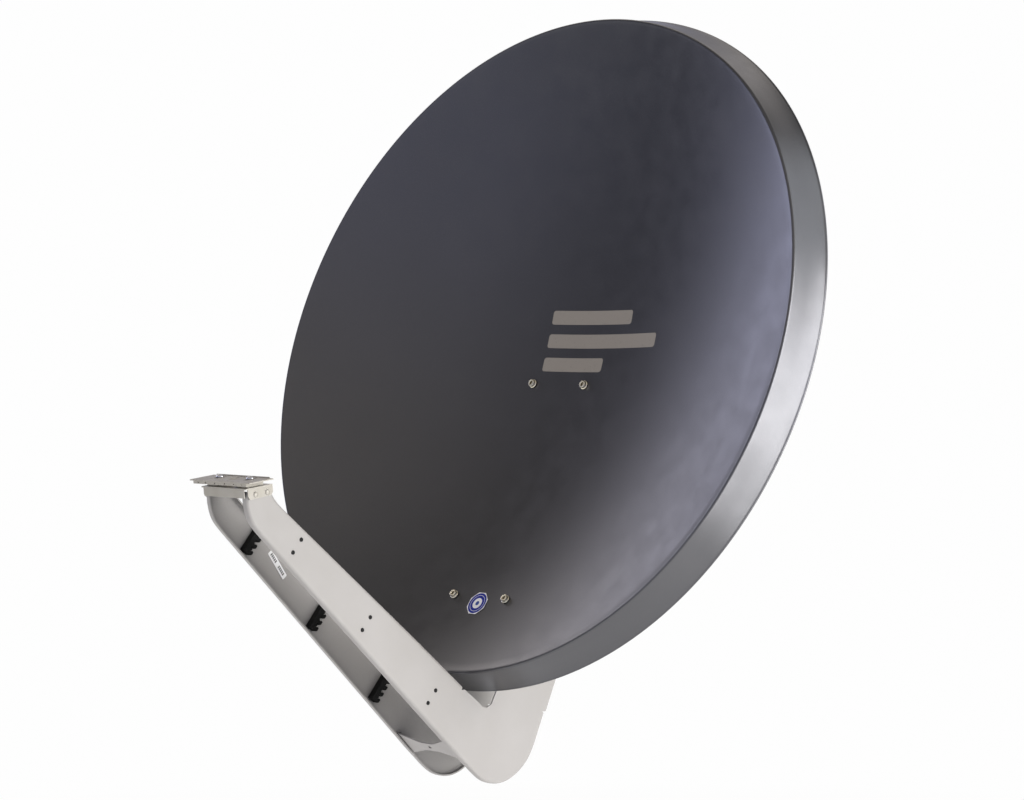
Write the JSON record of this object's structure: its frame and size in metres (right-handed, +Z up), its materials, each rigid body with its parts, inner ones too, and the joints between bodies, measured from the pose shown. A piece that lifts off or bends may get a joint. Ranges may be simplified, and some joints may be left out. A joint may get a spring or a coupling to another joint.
{
  "type": "satellite dish",
  "caption": "Offset satellite dish with a deep flared rim, a twin-plate feed arm with a sliding feed plate, and a tilting mast bracket with toothed clamps.",
  "frame": {"origin": "on the mast bracket's flat face against the mast, in the centre plane, level with the elevation pivot", "axes": "+Z up the mast, -Y towards the front of the dish, +Y towards the mast, +X across"},
  "size_m": [0.9338, 0.816, 1.0378],
  "materials": {
    "graphite_paint": "satin",
    "arm_paint": "satin",
    "head_paint": "satin",
    "zinc": "satin",
    "yellow_zinc": "satin",
    "galvanised": "matte",
    "black_plastic": "matte",
    "white_label": "matte",
    "blue_sticker": "gloss"
  },
  "bodies": {
    "bracket": {"clamp_bolt_lower_left": "zinc", "clamp_bolt_lower_right": "zinc", "clamp_bolt_upper_left": "zinc", "clamp_bolt_upper_right": "zinc", "mast_bracket": "galvanised", "pivot_bolt": "zinc", "pivot_nut": "zinc", "pivot_spacer": "zinc"},
    "head": {"arm_cross_web": "arm_paint", "arm_label": "white_label", "arm_plate_left": "arm_paint", "arm_plate_right": "arm_paint", "bracket_rivet_lower_left": "zinc", "bracket_rivet_lower_right": "zinc", "bracket_rivet_upper_left": "zinc", "bracket_rivet_upper_right": "zinc", "cable_clip_left_1": "black_plastic", "cable_clip_left_2": "black_plastic", "cable_clip_left_3": "black_plastic", "cable_clip_right_1": "black_plastic", "cable_clip_right_2": "black_plastic", "cable_clip_right_3": "black_plastic", "feed_nut_left": "zinc", "feed_nut_right": "zinc", "feed_saddle": "head_paint", "feed_screw_left": "zinc", "feed_screw_right": "zinc", "lock_bolt_left": "zinc", "lock_bolt_right": "zinc", "lock_nut_left": "zinc", "lock_nut_right": "zinc", "reflector": "graphite_paint", "reflector_bolt_lower_left": "yellow_zinc", "reflector_bolt_lower_right": "yellow_zinc", "reflector_bolt_upper_left": "yellow_zinc", "reflector_bolt_upper_right": "yellow_zinc", "reflector_bracket_lower": "galvanised", "reflector_bracket_upper": "galvanised", "reflector_nut_lower_left": "zinc", "reflector_nut_lower_right": "zinc", "reflector_nut_upper_left": "zinc", "reflector_nut_upper_right": "zinc", "reflector_sticker": "blue_sticker", "saddle_rivet_left_1": "head_paint", "saddle_rivet_left_2": "head_paint", "saddle_rivet_right_1": "head_paint", "saddle_rivet_right_2": "head_paint"},
    "upper_clamp": {"clamp_jaw_upper": "galvanised", "clamp_nut_upper_left": "zinc", "clamp_nut_upper_right": "zinc"},
    "lower_clamp": {"clamp_jaw_lower": "galvanised", "clamp_nut_lower_left": "zinc", "clamp_nut_lower_right": "zinc"},
    "feed_slider": {"feed_plate": "head_paint"}
  },
  "joints": [
    {"name": "elevation", "type": "hinge", "parent": "bracket", "child": "head", "pos_m": [0, -0.059, 0], "axis": [-1, 0, 0], "range_deg": [-25, 20]},
    {"name": "feed_slide", "type": "slide", "parent": "head", "child": "feed_slider", "axis": [0, 0.9945, 0.1045], "range_m": [-0.008, 0.008]},
    {"name": "upper_clamp_slide", "type": "slide", "parent": "bracket", "child": "upper_clamp", "axis": [0, 1, 0], "range_m": [-0.0145, 0.019]},
    {"name": "lower_clamp_slide", "type": "slide", "parent": "bracket", "child": "lower_clamp", "axis": [0, 1, 0], "range_m": [-0.0145, 0.019]}
  ]
}
